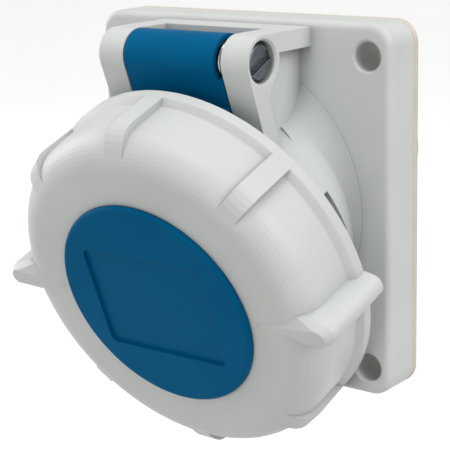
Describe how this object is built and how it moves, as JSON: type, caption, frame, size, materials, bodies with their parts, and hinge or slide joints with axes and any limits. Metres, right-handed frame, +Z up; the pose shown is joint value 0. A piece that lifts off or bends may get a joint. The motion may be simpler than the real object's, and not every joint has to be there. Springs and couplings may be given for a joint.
{
  "type": "industrial panel socket",
  "caption": "Sloping panel-mounted power socket: square flange, sprung round lid on a hinge, and a bayonet locking ring over the contact chamber.",
  "frame": {"origin": "in the panel plane (back face of the flange gasket), at the centre of the square of mounting holes", "axes": "-Y out of the panel towards the user, +Z up, +X to the right of someone facing the lid"},
  "size_m": [0.0794, 0.0816, 0.0838],
  "materials": {
    "housing_grey": "satin moulded light grey plastic",
    "gasket_foam": "matt closed-cell foam",
    "pin_steel": "dark zinc-plated",
    "clip_steel": "plain spring steel",
    "spring_steel": "bright drawn wire",
    "lid_blue": "satin moulded blue plastic",
    "cap_blue": "satin moulded blue plastic",
    "seal_rubber": "matt black rubber",
    "ring_grey": "satin moulded light grey plastic",
    "carrier_plastic": "matt black insulating plastic",
    "screw_steel": "zinc-plated",
    "contact_brass": "plain brass",
    "cage_steel": "zinc-plated",
    "terminal_grey": "matt light grey insulating plastic"
  },
  "bodies": {
    "housing": {"flange_housing": "housing_grey", "flange_gasket": "gasket_foam", "hinge_pin": "pin_steel", "hinge_pin_clip": "clip_steel", "lid_spring": "spring_steel", "contact_carrier": "carrier_plastic", "terminal_body": "terminal_grey", "carrier_seal": "seal_rubber", "carrier_screws": "screw_steel", "body_screw": "screw_steel", "earth_sleeve": "contact_brass", "line_sleeve": "contact_brass", "neutral_sleeve": "contact_brass", "sleeve_springs": "spring_steel", "terminal_cages": "cage_steel", "terminal_screws": "screw_steel"},
    "lid": {"lid_body": "lid_blue", "lid_cap": "cap_blue", "lid_seal": "seal_rubber"},
    "ring": {"locking_ring": "ring_grey"}
  },
  "joints": [
    {"name": "lid_hinge", "type": "hinge", "parent": "housing", "child": "lid", "pos_m": [0, -0.0249, 0.0301], "axis": [-1, 0, 0], "range_deg": [0, 130], "stiffness_Nm_per_rad": 0.05, "springref_deg": -57.3, "deforming": ["lid_spring"]},
    {"name": "ring_turn", "type": "hinge", "parent": "lid", "child": "ring", "pos_m": [0, -0.0363, -0.01525], "axis": [0, -0.9397, -0.342], "range_deg": [-30, 0]}
  ]
}
